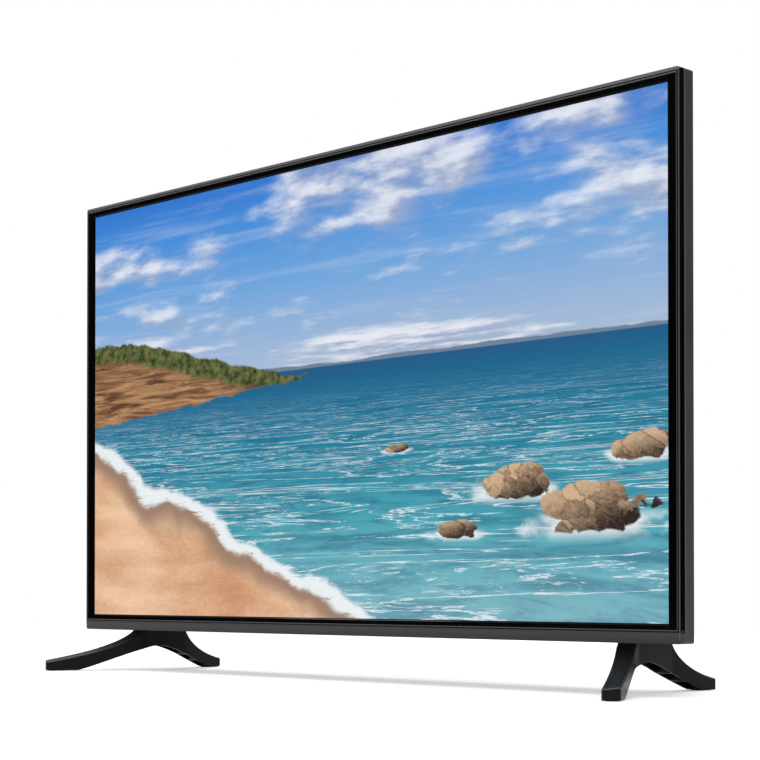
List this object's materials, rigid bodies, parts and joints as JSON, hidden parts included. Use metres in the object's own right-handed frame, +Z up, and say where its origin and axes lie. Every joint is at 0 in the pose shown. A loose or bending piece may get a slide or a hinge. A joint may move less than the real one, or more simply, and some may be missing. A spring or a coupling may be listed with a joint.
{
  "type": "flat screen tv",
  "caption": "Flat screen television with a dark grey trim frame, black border and chin, standing on two splayed feet, with terminals, vents and control keys in its rear housing.",
  "frame": {"origin": "on the floor, midway between the sides and midway between the front and rear toes", "axes": "+X is the viewer's right, +Y goes back through the set, +Z is up"},
  "size_m": [0.7212, 0.1812, 0.4563],
  "materials": {
    "trim_plastic": "satin dark grey with a fine hairline",
    "gloss_black": "gloss",
    "panel_glass": "semi-gloss",
    "frame_plastic": "matte",
    "optical_film": "satin",
    "diffuser_plastic": "matte white",
    "white_plastic": "white",
    "strip_board": "satin",
    "lens_plastic": "clear",
    "pressed_steel": "galvanised",
    "screw_steel": "blackened",
    "circuit_board": "green solder resist",
    "cover_plastic": "fine grain",
    "brass_insert": "turned",
    "chip_plastic": "matte",
    "sink_aluminium": "extruded",
    "tin_plate": "tinned",
    "part_plastic": "moulded",
    "nickel_metal": "nickel plated",
    "jack_plastic": "yellow, white and red rings",
    "vga_plastic": "blue insert",
    "socket_plastic": "matte",
    "transformer_core": "ferrite and tape",
    "speaker_plastic": "moulded",
    "driver_metal": "zinc",
    "window_plastic": "dark red, see-through to infrared",
    "key_plastic": "fine grain",
    "foot_plastic": "satin black",
    "pad_rubber": "matte",
    "flex_film": "amber film",
    "lead_sheath": "soft sheath"
  },
  "bodies": {
    "set": {"trim_frame": "trim_plastic", "front_bezel": "gloss_black", "lcd_panel": "panel_glass", "middle_frame": "frame_plastic", "prism_sheet": "optical_film", "diffuser_sheet": "optical_film", "diffuser_plate": "diffuser_plastic", "reflector_sheet": "white_plastic", "led_strips": "strip_board", "led_lenses": "lens_plastic", "backlight_tray": "pressed_steel", "tray_screws": "screw_steel", "panel_board": "circuit_board", "rear_cover": "cover_plastic", "cover_standoffs": "pressed_steel", "cover_screws": "screw_steel", "wall_mount_pillars": "brass_insert", "board_standoffs": "pressed_steel", "board_screws": "screw_steel", "main_board": "circuit_board", "power_board": "circuit_board", "main_processor": "chip_plastic", "heat_sink": "sink_aluminium", "tuner_can": "tin_plate", "main_board_parts": "part_plastic", "antenna_socket": "nickel_metal", "av_jacks": "jack_plastic", "vga_socket": "vga_plastic", "hdmi_sockets": "nickel_metal", "usb_sockets": "nickel_metal", "headphone_jack": "socket_plastic", "mains_inlet": "socket_plastic", "transformer": "transformer_core", "power_board_parts": "part_plastic", "power_heat_sinks": "sink_aluminium", "left_speaker_box": "speaker_plastic", "right_speaker_box": "speaker_plastic", "speaker_drivers": "driver_metal", "ir_window": "window_plastic", "ir_board": "circuit_board", "key_board": "circuit_board", "key_switches": "part_plastic", "key_board_screws": "screw_steel", "right_foot": "foot_plastic", "left_foot": "foot_plastic", "foot_pads": "pad_rubber", "foot_screws": "screw_steel", "foot_brackets": "pressed_steel", "panel_films": "flex_film", "panel_cable": "flex_film", "speaker_leads": "lead_sheath", "power_lead": "lead_sheath", "control_leads": "lead_sheath"},
    "power_key_body": {"power_key": "key_plastic"},
    "source_key_body": {"source_key": "key_plastic"},
    "menu_key_body": {"menu_key": "key_plastic"},
    "channel_up_key_body": {"channel_up_key": "key_plastic"},
    "channel_down_key_body": {"channel_down_key": "key_plastic"},
    "volume_up_key_body": {"volume_up_key": "key_plastic"},
    "volume_down_key_body": {"volume_down_key": "key_plastic"}
  },
  "joints": [
    {"name": "power_key_press", "type": "slide", "parent": "set", "child": "power_key_body", "axis": [0, -1, 0], "range_m": [0, 0.0005], "stiffness_N_per_m": 2000, "springref_m": -0.0002},
    {"name": "source_key_press", "type": "slide", "parent": "set", "child": "source_key_body", "axis": [0, -1, 0], "range_m": [0, 0.0005], "stiffness_N_per_m": 2000, "springref_m": -0.0002},
    {"name": "menu_key_press", "type": "slide", "parent": "set", "child": "menu_key_body", "axis": [0, -1, 0], "range_m": [0, 0.0005], "stiffness_N_per_m": 2000, "springref_m": -0.0002},
    {"name": "channel_up_key_press", "type": "slide", "parent": "set", "child": "channel_up_key_body", "axis": [0, -1, 0], "range_m": [0, 0.0005], "stiffness_N_per_m": 2000, "springref_m": -0.0002},
    {"name": "channel_down_key_press", "type": "slide", "parent": "set", "child": "channel_down_key_body", "axis": [0, -1, 0], "range_m": [0, 0.0005], "stiffness_N_per_m": 2000, "springref_m": -0.0002},
    {"name": "volume_up_key_press", "type": "slide", "parent": "set", "child": "volume_up_key_body", "axis": [0, -1, 0], "range_m": [0, 0.0005], "stiffness_N_per_m": 2000, "springref_m": -0.0002},
    {"name": "volume_down_key_press", "type": "slide", "parent": "set", "child": "volume_down_key_body", "axis": [0, -1, 0], "range_m": [0, 0.0005], "stiffness_N_per_m": 2000, "springref_m": -0.0002}
  ]
}
